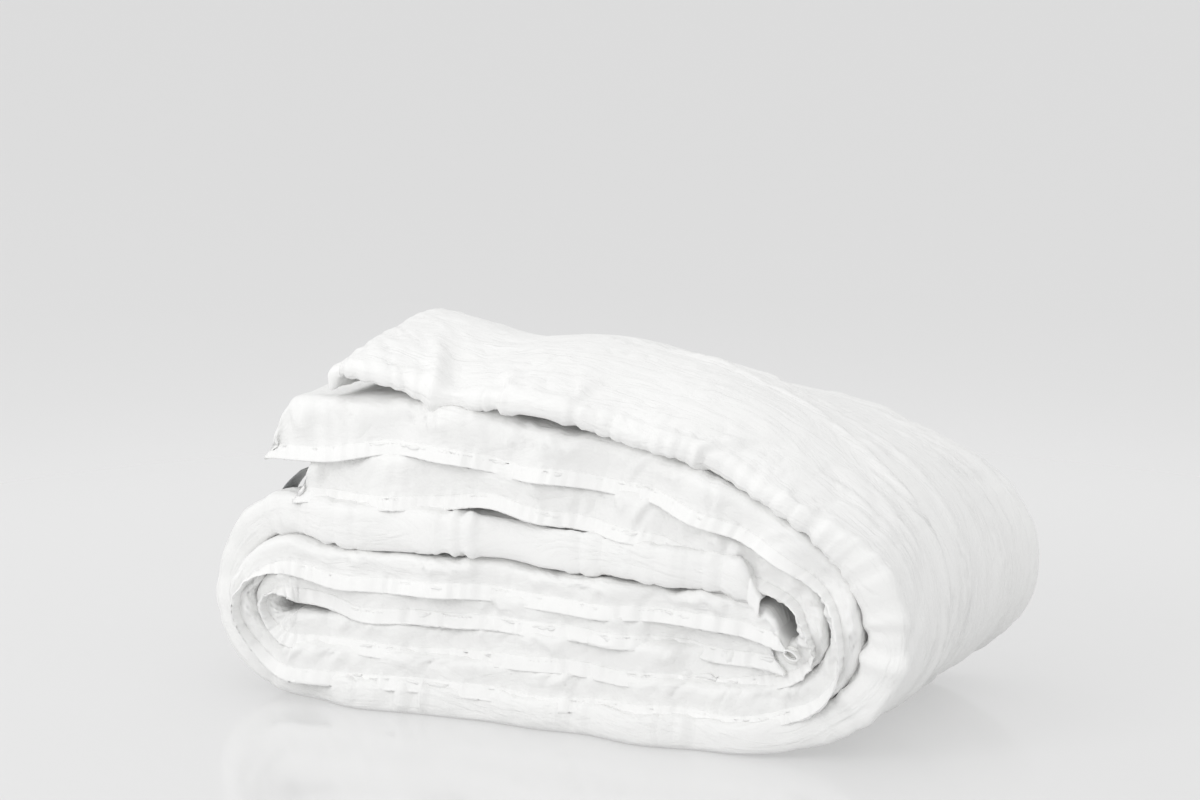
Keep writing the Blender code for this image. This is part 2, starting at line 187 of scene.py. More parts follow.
duvetValues = {
    # hems
    "bandWidth": 0.0125,      # flat stitched band along every hem
    "bandHalf": 0.0011,       # half of its thickness
    "hemRound": 0.017,        # depth over which a ply swells from its hem
    "hemCloth": 0.050,        # cloth in that swelling
    "hemBulge": 0.0035,       # how far the puffed edge stands out over the band
    "hemTurnPower": 1.4,      # how late the puffed edge turns inwards
    "hemFullness": 0.6,       # how soon it is at its full thickness
    "hemSag": 0.80,           # how far towards the ply's lower face the seam lies
    "hemSagVaries": 0.10,
    "hemVaries": 0.0042,      # how far the hems wander in and out
    "hemInnerBack": 0.004,    # the innermost ply's hem lies back
    "hemLeftOut": 0.006,      # both hems stand out in the left bend
    "frontSetback": 0.006,
    # ends
    "endRound": 0.022,
    "endFullness": 0.55,
    "looseStarts": (-0.028, 0.046, 0.002),   # along the wrap: third ply, the two outer plies, innermost ply
    "tailShort": 0.030,
    "tailExtra": 0.031,
    "flapLift": 0.017,        # the outer plies stand off the inner ones at the loose end
    "flapRise": (0.196, 0.056),   # along the wrap: where the lift starts, and where it is full
    "flapRisePower": 1.2,
    "flapBack": (0.12, 0.36),  # depths between which the lift dies down
    "flapBackLoss": 0.6,
    "flapDip": (0.17, -0.005, 0.045),   # place along the wrap, height and width
    "flapHump": (0.26, 0.007, 0.055),
    # crown of the outer plies
    "crownFront": 0.34,
    "crownMiddle": 1.08,
    "crownBack": 0.10,
    "crownLead": 0.012,
    "crownDepth": 0.17,
    "crownBackFrom": (0.20, 0.38),
    "crownAbove": (0.15, 0.21),   # heights between which the crown sets in
    "backFall": 0.35,
    "backFallDepth": (0.13, 0.37),
    "backFallAlong": (0.01, -0.17),   # from the right bend
    "backCorner": 0.017,
    "backCornerDepth": (0.20, 0.37),
    "backCornerAt": (-0.01, 0.060),   # from the right bend, and width
    # folds
    "foldRound": 0.75,
    "foldVaries": 0.0040,
    "foldVariesDepth": 0.10,
    "leftSetback": 0.022,     # the folded plies lie back from the hems in the tight left bend
    "leftSpread": 0.09,
    "leftBulge": 0.013,
    "leftBulgeSpread": 0.085,
    "shelfFill": 0.007,       # the folded ply of the middle run stands up to meet the plies above
    "shelfAlong": (0.06, 0.14),   # from the left bend
    "shelfNear": 0.036,
    # slow unevenness
    "offFloor": (0.02, 0.10),
    "bigWaveHeight": 0.0017,
    "plyWaveHeight": 0.0010,
    # grid of cloth
    "laneCloth": 0.350,
    "fineStep": 0.0040,
    "alongStep": 0.0030,
    "nearFront": 0.085,       # fine cloth reaches this deep between the plies
    "hemSteps": (0.0, 0.0005, 0.0018, 0.0045, 0.0080, 0.0110, 0.0125, 0.0140, 0.0165),
    "foldColumns": (5, 21, 23),
}


def hemTurn(w, swellCloth, reach, bulge):
    # the puffed cloth beyond the flat band, from the seam inwards: how far in, and how swollen (0 to 1)
    d = duvetValues
    theta = np.clip((w - d["bandWidth"]) / swellCloth, 0, 1) * np.pi / 2
    beyond = np.maximum(0, w - d["bandWidth"] - swellCloth)
    inset = reach * (1 - np.cos(theta)) ** d["hemTurnPower"] - bulge * np.sin(2 * theta) + beyond
    return inset, np.sin(theta) ** d["hemFullness"]


# seed, number of waves, shortest and longest in metres
bigWave = ripple(3, 10, 0.12, 0.45)
frontWave = ripple(5, 9, 0.07, 0.30)
hemWave = ripple(8, 9, 0.06, 0.26)
sagWave = ripple(21, 8, 0.07, 0.25)
plyWave = ripple(13, 12, 0.09, 0.30)
plyOrder = (3, 2, 1, 4)       # plies in the order the cloth runs through them, hem B to hem C


def plyLevels(outer, inner, gap):
    # middle, half thickness and facing of each ply, measured outwards from the wrap line
    return {1: (0.75 * outer, 0.25 * outer - gap / 2, 1), 2: (0.25 * outer, 0.25 * outer - gap / 2, -1),
            3: (-0.25 * inner, 0.25 * inner - gap / 2, 1), 4: (-0.75 * inner, 0.25 * inner - gap / 2, -1)}


def foldedSection(part, t, level, s, outward, thick):
    # depth and distance from the wrap line of cloth folded in four, before the whole is shaped
    v, d = wrapValues, duvetValues
    outer, inner = thick[..., 0], thick[..., 1]
    down = -outward[..., 1]
    levels = plyLevels(outer, inner, v["plyGap"])
    backY = cadHigh.y - v["foldSquash"] * (v["looseOuter"] + v["looseInner"]) / 2
    start, stop = endMarks(part, t)
    fromEnd = np.maximum(np.minimum(s - start, stop - s), 0)
    swell = np.sin(np.clip((fromEnd - d["bandWidth"]) / d["endRound"], 0, 1) * np.pi / 2) ** d["endFullness"]
    hang = np.clip(1 - fromEnd / d["bandWidth"], 0, 1)
    leftBend = np.exp(-((s - sLeftBend) / d["leftSpread"]) ** 2)
    foldFront = cadLow.y + v["foldSquash"] * outer / 2 + d["leftSetback"] * leftBend
    if part in (0, 6):
        w = (t if part == 0 else 1 - t) * d["laneCloth"]
        upSide = level * levels[plyOrder[part // 2]][2] * down < 0
        upright = np.abs(down)
        inset, hemSwell = hemTurn(w, d["hemCloth"], d["hemRound"], np.where(upSide, d["hemBulge"], 0.0) * upright)
        hemHang = np.clip(1 - w / d["bandWidth"], 0, 1)
        # the band hangs where the ply lies flat, and points ahead where it stands upright in the bends
        forward = np.sqrt(np.clip(1 - (0.965 * down) ** 2, 0, 1))
        frontY = (cadLow.y + d["frontSetback"] + d["hemVaries"] * hemWave(s + 3.1 * part, 0 * s)
                  + (d["hemInnerBack"] if part == 6 else 0) - d["hemLeftOut"] * leftBend)
        deep = d["hemRound"] + d["laneCloth"] - d["bandWidth"] - d["hemCloth"]
        inset = np.where(inset > d["hemRound"], d["hemRound"] + (inset - d["hemRound"])
                         * (backY - frontY - d["hemRound"]) / (deep - d["hemRound"]), inset)
        y = frontY + inset - d["bandWidth"] * hemHang * forward
        swell, hang = swell * hemSwell, np.maximum(hang, hemHang)
    sag = d["hemSag"] + d["hemSagVaries"] * sagWave(s + 1.7 * part, 0 * s)
    thin = d["bandHalf"] * np.sqrt(np.clip(1 - hang ** 6, 0, 1))

    def height(ply):
        middle, half, facing = levels[ply]
        fall = sag * half * (1 - swell) + d["bandWidth"] * hang * np.abs(down)
        return middle + facing * level * (half * swell + thin * (1 - swell)) + down * fall
    if part % 2 == 0:
        n = height(plyOrder[part // 2])
        if part in (2, 4):
            share = 1 - t if part == 2 else t
            y = foldFront + (backY - foldFront) * share
    else:
        ends = [height(plyOrder[part // 2]), height(plyOrder[part // 2 + 1])]
        centre, radius = (ends[0] + ends[1]) / 2, (ends[0] - ends[1]) / 2
        turn = np.cos(np.pi * t)
        n = centre + radius * np.sign(turn) * np.abs(turn) ** d["foldRound"]
        reach = np.abs(radius) * np.sin(np.pi * t) ** d["foldRound"]
        y = foldFront - v["foldSquash"] * reach if part == 3 else backY + v["foldSquash"] * reach
    return y, n


def plyPoint(part, t, level, s):
    # folded place of cloth points: part and share across, level in the ply, and distance along the wrap
    v, d = wrapValues, duvetValues
    point, outward, thick = wrapAt(s)
    y, n = foldedSection(part, t, level, s, outward, thick)
    depth = y - cadLow.y
    # crown: the outer plies thin towards the front fold and are fullest at mid depth
    dome = np.sin(np.clip((depth + d["crownLead"]) / d["crownDepth"], 0, 1) * np.pi / 2)
    crown = d["crownFront"] + (d["crownMiddle"] - d["crownFront"]) * dome
    crown = crown - d["crownBack"] * smoothStep(*d["crownBackFrom"], depth)
    onTop = smoothStep(*d["crownAbove"], point[..., 1])
    n = np.where(n > 0, n * (1 + (crown - 1) * onTop), n)
    # the plies above sag on to the folded ply of the middle run, which stands up to meet them
    middleRun = smoothStep(sLeftBend + d["shelfAlong"][0], sLeftBend + d["shelfAlong"][1], s)
    n = n + d["shelfFill"] * middleRun * smoothStep(0.0, d["shelfNear"], n) * (n > 0)
    # the outer plies lift away from the inner ones at the loose end, with a dip behind and then a low hump
    lifted = {0: 0.0, 1: t, 2: 1.0, 3: 1.0, 4: 1.0, 5: 1 - t, 6: 0.0}[part]
    front = 1 - d["flapBackLoss"] * smoothStep(*d["flapBack"], depth)
    n = n + lifted * front * d["flapLift"] * smoothStep(*d["flapRise"], s) ** d["flapRisePower"]
    n = n + lifted * (riseAt(s, *d["flapDip"]) + riseAt(s, *d["flapHump"])) * front
    # slow unevenness, none where it lies on the floor
    off = smoothStep(*d["offFloor"], point[..., 1])
    n = n + (d["bigWaveHeight"] * bigWave(s, y) + d["plyWaveHeight"] * plyWave(s + part * 2.3, y)) * off
    if part in (2, 3, 4):
        y = y + d["foldVaries"] * frontWave(s, 0 * s) * (1 - smoothStep(0.0, d["foldVariesDepth"], depth))
    # the back fold stands out furthest over the right bend
    cornerAt, cornerWidth = d["backCornerAt"]
    n = n + riseAt(s, sRightBend + cornerAt, d["backCorner"] * smoothStep(*d["backCornerDepth"], depth),
                   cornerWidth) * (n > 0)
    n = n + riseAt(s, sLeftBend, d["leftBulge"], d["leftBulgeSpread"]) * off
    spot = point + outward * n[..., None]
    height = spot[..., 1]
    shelf = v["underOuter"] + 2 * v["leftRadius"] + v["middleOuter"]
    fallFrom, fallTo = d["backFallAlong"]
    fall = (d["backFall"] * smoothStep(*d["backFallDepth"], depth)
            * smoothStep(sRightBend + fallFrom, sRightBend + fallTo, s))
    height = np.where(height > shelf, shelf + (height - shelf) * (1 - fall), height)
    return np.stack([spot[..., 0], y, np.maximum(height, 0.0)], -1)


def endMarks(part, t):
    # where each column of cloth starts and stops along the wrap: the two outer plies are the shorter ones
    d = duvetValues
    ease = t * t * (3 - 2 * t)
    b, a, c = d["looseStarts"]
    start = {0: b, 1: b + (a - b) * ease, 2: a, 3: a, 4: a, 5: a + (c - a) * ease, 6: c}[part]
    short = {0: 0.0, 1: ease, 5: 1 - ease, 6: 0.0}.get(part, 1.0)
    return start, wrapLength + d["tailExtra"] - short * d["tailShort"]


def acrossColumns():
    # every column of cloth on one face, as part and share, hem B to hem C; both faces use the same ones
    d = duvetValues
    fine, nearFront = d["fineStep"], d["nearFront"]
    near = list(d["hemSteps"]) + list(np.arange(0.0200, nearFront, fine * 0.9))
    far = list(np.linspace(nearFront, d["laneCloth"], 6))
    hem = [w / d["laneCloth"] for w in near + far[:-1]]
    run = cadHigh.y - cadLow.y - 0.06
    turnBack, front, turnInner = d["foldColumns"]
    backward = list(np.linspace(0, 1 - nearFront / run, 5)[:-1])
    backward += list(np.arange(1 - nearFront / run, 0.999, fine / run))
    columns = [(0, t) for t in hem]
    columns += [(1, t) for t in np.linspace(0, 1, turnBack + 1)[:-1]]
    columns += [(2, t) for t in backward]
    columns += [(3, t) for t in np.linspace(0, 1, front + 1)[:-1]]
    columns += [(4, t) for t in np.linspace(0, 1, int(run / fine))[:-1]]
    columns += [(5, t) for t in np.linspace(0, 1, turnInner + 1)[:-1]]
    columns += [(6, 1 - t) for t in reversed(hem)]
    return columns


def alongShares():
    # fine rows over the stitched band at both ends, and even ones between
    tip = np.array(duvetValues["hemSteps"]) / wrapLength
    first = (duvetValues["hemSteps"][-1] + duvetValues["alongStep"]) / wrapLength
    body = np.linspace(first, 1 - first, int(wrapLength / duvetValues["alongStep"]))
    return np.concatenate([tip, body, 1 - tip[::-1]])


def duvetGrid(columns, shares):
    # rows along the wrap by columns round the closed section: upper face out to hem C, lower face back
    rows = []
    for level, order in ((1.0, columns), (-1.0, columns[::-1][1:-1])):
        for part, t in order:
            start, stop = endMarks(part, t)
            s = start + (stop - start) * shares
            rows.append(plyPoint(part, t, level, s))
    return np.stack(rows, 1)


def clothShares(columns, shares):
    # distance along the wrap and cloth distance across for every grid point
    order = columns + columns[::-1][1:-1]
    marks = [endMarks(part, t) for part, t in order]
    along = np.stack([start + (stop - start) * shares for start, stop in marks], 1)
    level = np.array([1.0] * len(columns) + [-1.0] * (len(columns) - 2))
    part = np.array([p for p, t in order])
    share = np.array([t for p, t in order])
    return along, part, share, level


def gridNormals(points):
    # outward normals of the closed tube of cloth
    around = np.roll(points, -1, 1) - np.roll(points, 1, 1)
    along = np.gradient(points, axis=0)
    normal = np.cross(around, along)
    normal /= np.maximum(np.linalg.norm(normal, axis=2, keepdims=True), 1e-12)
    return normal


# Each field is a ripple: seed, number of waves, shortest and longest in metres, and how far it is drawn out.
creaseValues = {
    "patches": (40, 12, 0.05, 0.16), "patchesOver": (41, 12, 0.06, 0.20),
    "hemPucker": 0.0034, "hemPuckerReach": 0.045, "hemFan": (31, 16, 0.012, 0.034, 4.0),
    "hemSoftFan": (32, 12, 0.030, 0.080, 3.0), "hemFrom": 0.013,
    "bandPucker": 0.0007, "bandFan": (33, 14, 0.009, 0.020, 6.0),
    "foldPucker": 0.0019, "foldFan": (34, 18, 0.012, 0.060, 4.5), "foldReach": 0.045,
    "bendCrease": 0.0030, "bendFan": (35, 18, 0.010, 0.040, 10.0), "bendSpread": 0.17,
    "ridge": 0.0048, "ridgeDepth": 0.165, "ridgeFrom": (0.24, 0.36), "ridgeTo": (0.82, 0.70),
    "crumple": 0.0013, "crumpleField": (36, 20, 0.018, 0.070, 1.6),
    "corner": 0.0024, "cornerFan": (37, 14, 0.016, 0.050, 6.0), "cornerAt": (0.09, 0.055), "cornerDepth": 0.20,
    "throat": 0.0070, "throatAt": 0.155, "throatSlant": 0.42, "throatDepth": 0.06,
}


def ridged(field, a, b, sharp=1.6):
    # sharp crests and soft hollows, about zero on average
    return (1 - np.abs(np.clip(field(a, b), -1.6, 1.6)) / 1.6) ** sharp - 0.45


tuckValues = {
    "hemCount": 60, "hemDepth": (0.0010, 0.0042), "hemReach": (0.012, 0.042),
    "foldCount": 46, "foldDepth": (0.0010, 0.0048), "foldReach": (0.012, 0.055),
    "width": (0.0032, 0.0070), "slant": 0.75,
}


def tucks(seed, count, depths, reaches, along, away):
    # separate creases that start at a seam or fold and run off at a slant, each with a raised lip beside it
    rng = np.random.default_rng(seed)
    height = np.zeros(along.shape)
    for start in rng.uniform(-0.02, wrapLength + 0.02, count):
        depth = depths[0] + (depths[1] - depths[0]) * rng.random() ** 2
        reach = rng.uniform(*reaches)
        width = rng.uniform(*tuckValues["width"])
        slant = rng.uniform(-tuckValues["slant"], tuckValues["slant"])
        side = (along - start - slant * away) / (width * (1 + away / reach * 0.5))
        fade = np.exp(-np.maximum(away, 0) / reach)
        height += depth * fade * (0.7 * np.exp(-(side - 1.5 * np.sign(slant)) ** 2) - np.exp(-side ** 2))
    return height


def hemCreases(along, part, level, w, patch, offset):
    # gathers that fan out from the stitched hems, and the pucker of the band itself
    v, u = creaseValues, tuckValues
    band = duvetValues["bandWidth"]
    fan, fanSoft, bandFan = ripple(*v["hemFan"]), ripple(*v["hemSoftFan"]), ripple(*v["bandFan"])
    fade = (np.exp(-np.maximum(w - band, 0) / v["hemPuckerReach"] * 1.6)
            * smoothStep(band, band + v["hemFrom"], w))
    height = v["hemPucker"] * patch * fade * (1.1 * ridged(fan, along + offset + 0.35 * w, w, 1.9)
                                              + 0.9 * fanSoft(along + offset, w))
    for face in (-1, 1):
        for hem in (0, 6):
            here = (part == hem) & (level == face)
            height[:, here] += (tucks(60 + hem + face, u["hemCount"], u["hemDepth"], u["hemReach"],
                                      along[:, here], w[:, here] - band)
                                * smoothStep(band - 0.002, band + 0.006, w[:, here]))
    return height + v["bandPucker"] * (w <= band) * bandFan(along + 5.0 * (part > 3), w) * np.sign(level)


def foldCreases(along, across, folds, patch):
    # gathers across the front fold
    v, u = creaseValues, tuckValues
    nearFold = np.exp(-(np.maximum(across, 0) / v["foldReach"]) ** 1.5) * folds
    height = v["foldPucker"] * patch * nearFold * ridged(ripple(*v["foldFan"]), along, across, 1.5)
    height[:, folds] += tucks(80, u["foldCount"], u["foldDepth"], u["foldReach"],
                              along[:, folds], np.abs(across[:, folds] - 0.004))
    return height


def deepCrease(along, across):
    # one deep crease at mid depth, from the top run down over the bend, with a raised lip and a branch
    v = creaseValues
    path = v["ridgeDepth"] + 0.012 * np.sin(along * 9.0) - 0.05 * smoothStep(0.35, 0.75, along)
    crease = riseAt(across, path, 1.0, 0.0055) - riseAt(across, path + 0.012, 0.6, 0.008)
    crease = crease + riseAt(across, path * 1.12 + 0.020 + 0.03 * along, 0.6, 0.005)
    return v["ridge"] * crease * smoothStep(*v["ridgeFrom"], along) * smoothStep(*v["ridgeTo"], along)


def creaseHeights(along, part, share, level, points):
    v = creaseValues
    across = points[..., 1] - cadLow.y
    w = np.where(part == 0, share, np.where(part == 6, 1 - share, 1.0)) * duvetValues["laneCloth"]
    w = np.broadcast_to(w, along.shape)
    patch = smoothStep(-0.9, 1.1, ripple(*v["patches"])(along + 1.3 * part, across)) * 1.15 + 0.10
    patchOver = smoothStep(-0.7, 1.0, ripple(*v["patchesOver"])(along + 0.9 * part + 7, across)) * 1.2
    offset = np.where(part == 0, 0.0, 5.0) + 2.0 * (level < 0)
    folds = (part == 3) | (part == 2) | (part == 4)
    outside = level > 0
    height = hemCreases(along, part, level, w, patch, offset)
    height += foldCreases(along, across, folds, patch)
    # long creases that follow the wrap over the right bend and shoulder
    bend = riseAt(along, sRightBend, 1.0, v["bendSpread"]) * ((part == 4) | (part == 3)) * outside
    height += v["bendCrease"] * patchOver * bend * ridged(ripple(*v["bendFan"]), across, along, 1.8)
    height -= deepCrease(along, across) * (part == 4) * outside
    # general soft crumple
    crumple = ridged(ripple(*v["crumpleField"]), along + offset, across + 0.3 * part, 1.3)
    height += v["crumple"] * patchOver * crumple * (w > duvetValues["bandWidth"])
    # creases at the lifted end run slantwise from its corner, and a pinch draws in its throat
    corner = riseAt(along, v["cornerAt"][0], 1.0, v["cornerAt"][1]) * folds * outside
    corner = corner * riseAt(across, 0.0, 1.0, v["cornerDepth"])
    slanted = ridged(ripple(*v["cornerFan"]), along + 0.9 * across, across - 0.9 * along, 1.6)
    height += v["corner"] * corner * slanted
    throat = along - v["throatAt"] + v["throatSlant"] * across
    pinch = riseAt(throat, 0.0, 1.0, 0.009) - riseAt(throat, 0.022, 0.6, 0.013)
    height -= v["throat"] * pinch * np.exp(-(np.maximum(across - 0.02, 0) / v["throatDepth"]) ** 2) * folds * outside
    return height


simValues = {
    "spacing": 0.0066, "frames": 20, "pressure": 1.6, "growth": -0.020,
    "hold": 0.28,             # how firmly the open cloth is held to its place
    "limit": 0.0042,          # furthest that any point may move
    "hidden": 0.012,          # cloth between the plies, known by its wide columns, is held fast
    "quality": 4, "mass": 0.12, "stretch": 12, "shear": 4, "bending": 0.06,
}


def pickSpaced(points, spacing, closed):
    # indices of points at least one spacing apart, always with the first and the last
    distance = np.concatenate([[0], np.cumsum(np.linalg.norm(np.diff(points, axis=0), axis=1))])
    kept, last = [0], 0.0
    for index in range(1, len(points) - 1):
        if distance[index] - last >= spacing and distance[-1] - distance[index] >= spacing * 0.6:
            kept.append(index)
            last = distance[index]
    return kept + ([] if closed else [len(points) - 1])


def spreadMatrix(count, kept, closed):
    # linear interpolation from the kept points back to all of them
    spread = np.zeros((count, len(kept)))
    ends = kept + [count] if closed else kept
    for slot, (a, b) in enumerate(zip(ends, ends[1:])):
        for index in range(a, b):
            t = (index - a) / (b - a)
            spread[index, slot] += 1 - t
            spread[index, (slot + 1) % len(kept)] += t
    if not closed:
        spread[count - 1, len(kept) - 1] = 1.0
    return spread


def finishedPiece(mesh, bm=None, mergeWithin=None):
    # faces turned outwards, shaded smooth, as an object at the origin
    if bm is None:
        bm = bmesh.new()
        bm.from_mesh(mesh)
    if mergeWithin:
        bmesh.ops.remove_doubles(bm, verts=bm.verts, dist=mergeWithin)
    bmesh.ops.recalc_face_normals(bm, faces=bm.faces)
    bm.to_mesh(mesh)
    bm.free()
    mesh.shade_smooth()
    piece = bpy.data.objects.new(mesh.name, mesh)
    bpy.context.scene.collection.objects.link(piece)
    print(piece.name, len(mesh.polygons), "faces")
    return piece


def simulateCloth(points):
    # the cover swells and buckles over its filling; the result comes back as movements of the fine grid
    v = simValues
    rowCount, columnCount = points.shape[:2]
    upper = (columnCount + 2) // 2
    middleRow = points[rowCount // 3]
    keptUpper = pickSpaced(middleRow[:upper], v["spacing"], False)
    keptColumns = keptUpper + [columnCount - i for i in reversed(keptUpper[1:-1])]
    keptRows = pickSpaced(points[:, upper // 2], v["spacing"], False)
    coarse = points[keptRows][:, keptColumns]
    rows, cols = coarse.shape[:2]
    index = np.arange(rows * cols).reshape(rows, cols)
    for end in (0, rows - 1):
        for column in range(1, cols // 2):
            index[end, cols - column] = index[end, column]
    used, flat = np.unique(index.ravel(), return_inverse=True)
    index = flat.reshape(rows, cols)
    following = np.roll(index, -1, 1)
    quads = np.stack([index[:-1], following[:-1], following[1:], index[1:]], -1).reshape(-1, 4)
    places = coarse.reshape(-1, 3)[used]
    mesh = bpy.data.meshes.new("clothTrial")
    mesh.from_pydata(places.tolist(), [], quads.tolist())
    trial = finishedPiece(mesh)
    step = np.linalg.norm(coarse - np.roll(coarse, 1, 1), axis=2)
    step = np.maximum(step, np.roll(step, -1, 1))
    pinned = np.where((step > v["hidden"]) | (coarse[..., 2] < 0.004), 1.0, v["hold"])
    pinned = pinned.ravel()[used]
    group = trial.vertex_groups.new(name="held")
    for strength in np.unique(pinned):
        group.add(np.nonzero(pinned == strength)[0].tolist(), float(strength), "REPLACE")
    cloth = trial.modifiers.new("cloth", "CLOTH")
    settings = cloth.settings
    settings.quality = v["quality"]
    settings.mass = v["mass"]
    settings.tension_stiffness = settings.compression_stiffness = v["stretch"]
    settings.shear_stiffness = v["shear"]
    settings.bending_stiffness = v["bending"]
    settings.use_pressure = True
    settings.uniform_pressure_force = v["pressure"]
    settings.shrink_min = v["growth"]
    settings.vertex_group_mass = "held"
    settings.effector_weights.gravity = 0
    cloth.collision_settings.use_collision = False
    cloth.collision_settings.use_self_collision = False
    cloth.point_cache.frame_end = v["frames"]
    scene = bpy.context.scene
    for frameNumber in range(1, v["frames"] + 1):
        scene.frame_set(frameNumber)
    evaluated = trial.evaluated_get(bpy.context.evaluated_depsgraph_get())
    moved = np.zeros(len(places) * 3, np.float32)
    evaluated.data.vertices.foreach_get("co", moved)
    bpy.data.objects.remove(trial)
    scene.frame_set(1)
    shift = moved.reshape(-1, 3) - places
    size = np.linalg.norm(shift, axis=1, keepdims=True)
    print("cloth trial", rows, "by", cols, "moved at most", round(float(size.max()) * 1000, 1), "mm, on average",
          round(float(size.mean()) * 1000, 2))
    shift = shift * v["limit"] * np.tanh(size / v["limit"]) / np.maximum(size, 1e-9)
    shift = shift[index]
    for axis in (0, 1):
        shift = (np.roll(shift, 1, axis) + 2 * shift + np.roll(shift, -1, axis)) / 4
    along = spreadMatrix(rowCount, keptRows, False)
    across = spreadMatrix(columnCount, keptColumns, True)
    return np.einsum("ij,jkd->ikd", along, np.einsum("kl,jld->jkd", across, shift, optimize=True), optimize=True)


columns = acrossColumns()
shares = alongShares()
grid = duvetGrid(columns, shares)
print("duvet grid", grid.shape)
grid = grid + simulateCloth(grid)
grid[..., 2] = np.maximum(grid[..., 2], 0.0)
along, part, share, level = clothShares(columns, shares)
heights = creaseHeights(along, part, share, level, grid)
onFloor = smoothStep(0.001, 0.010, grid[..., 2])
grid = grid + gridNormals(grid) * (heights * onFloor)[..., None]
normals = gridNormals(grid)
print("creases up to", round(float(np.abs(heights).max()) * 1000, 1), "mm")


def closedCloth(name, points, lengths):
    # a closed tube of cloth from rows by columns; its two faces meet at every hem
    rowCount, columnCount = points.shape[:2]
    bm = bmesh.new()
    bmesh.ops.create_grid(bm, x_segments=columnCount, y_segments=rowCount - 1, size=0.5)
    mesh = bpy.data.meshes.new(name)
    bm.verts.index_update()
    bm.to_mesh(mesh)
    bm.free()
    closed = np.concatenate([points, points[:, :1]], 1)
    mesh.vertices.foreach_set("co", closed.astype(np.float32).ravel())
    onCloth = mesh.attributes.new("onCloth", "FLOAT_VECTOR", "POINT")
    onCloth.data.foreach_set("vector", np.concatenate([lengths, lengths[:, :1]], 1).astype(np.float32).ravel())
    return finishedPiece(mesh, mergeWithin=2e-5)


acrossStep = np.linalg.norm(grid - np.roll(grid, 1, 1), axis=2).mean(0)
lengths = np.stack([along, np.broadcast_to(np.cumsum(acrossStep), along.shape), np.zeros(along.shape)], -1)
duvet = closedCloth("duvet", grid, lengths)
upperCount = len(columns)


def solidFromGrids(outside, inside):
    # a thin closed solid between two matching grids of points
    rows, cols = outside.shape[:2]
    index = np.arange(rows * cols).reshape(rows, cols)
    quads = np.stack([index[:-1, :-1], index[:-1, 1:], index[1:, 1:], index[1:, :-1]], -1).reshape(-1, 4)
    rim = np.concatenate([index[0, :], index[1:, -1], index[-1, -2::-1], index[-2:0:-1, 0]])
    following = np.roll(rim, -1)
    walls = np.stack([following, rim, rim + rows * cols, following + rows * cols], -1)
    faces = np.concatenate([quads, quads[:, ::-1] + rows * cols, walls])
    return np.concatenate([outside.reshape(-1, 3), inside.reshape(-1, 3)]), faces


def meshPiece(name, places, faceGroups, stations=None):
    mesh = bpy.data.meshes.new(name)
    faces = [tuple(face) for group in faceGroups for face in group.tolist()]
    mesh.from_pydata(places.tolist(), [], faces)
    if stations is not None:
        onCloth = mesh.attributes.new("onCloth", "FLOAT_VECTOR", "POINT")
        onCloth.data.foreach_set("vector", (stations[:, None] * [1.0, 0.0, 0.0]).astype(np.float32).ravel())
    return finishedPiece(mesh)


def stitchBeads(centre, forward, up, length, width, height):
    # one small faceted bead of thread per stitch
    side = np.cross(up, forward)
    corners = np.stack([centre + forward * length / 2, centre - forward * length / 2, centre + side * width / 2,
                        centre - side * width / 2, centre + up * height, centre - up * height], 1)
    pattern = np.array([[0, 2, 4], [2, 1, 4], [1, 3, 4], [3, 0, 4], [2, 0, 5], [1, 2, 5], [3, 1, 5], [0, 3, 5]])
    faces = (np.arange(len(centre)) * 6)[:, None, None] + pattern
    return corners.reshape(-1, 3), faces.reshape(-1, 3)


bindingValues = {
    "lift": 0.00045, "sink": 0.0003,
    "bandColumns": 6, "stitchColumn": 5,      # columns of the cloth from the hem
    "stitchPitch": 0.0042, "stitchLength": 0.0030, "stitchWidth": 0.0009, "stitchHeight": 0.0006,
}


def evenly(path, *others):
    # resample a line of points, and what goes with them, at the stitch pitch
    distance = np.concatenate([[0], np.cumsum(np.linalg.norm(np.diff(path, axis=0), axis=1))])
    wanted = np.arange(bindingValues["stitchPitch"], distance[-1], bindingValues["stitchPitch"])
    return [np.stack([np.interp(wanted, distance, column) for column in line.T], 1) for line in (path, *others)]


def bindingPiece(name, places, normal, stations, seamLines):
    v = bindingValues
    solid, faces = solidFromGrids(places + normal * v["lift"], places - normal * v["sink"])
    groups, points, lengths = [faces], [solid], [stations.ravel(), stations.ravel()]
    count = len(solid)
    for line, up, station in seamLines:
        centre, lift, station = evenly(line, up, station[:, None])
        forward = np.gradient(centre, axis=0)
        forward /= np.maximum(np.linalg.norm(forward, axis=1, keepdims=True), 1e-9)
        lift /= np.maximum(np.linalg.norm(lift, axis=1, keepdims=True), 1e-9)
        corners, beads = stitchBeads(centre + lift * v["lift"], forward, lift, v["stitchLength"], v["stitchWidth"],
                                     v["stitchHeight"])
        points.append(corners)
        groups.append(beads + count)
        lengths.append(np.repeat(station[:, 0], 6))
        count += len(corners)
    return meshPiece(name, np.concatenate(points), groups, np.concatenate(lengths))


def sideBinding(name, hemColumn):
    v = bindingValues
    around = [(hemColumn + i) % grid.shape[1] for i in range(-v["bandColumns"], v["bandColumns"] + 1)]
    seams = [(hemColumn + side * v["stitchColumn"]) % grid.shape[1] for side in (-1, 1)]
    lines = [(grid[:, seam], normals[:, seam], along[:, seam]) for seam in seams]
    return bindingPiece(name, grid[:, around], normals[:, around], along[:, around], lines)


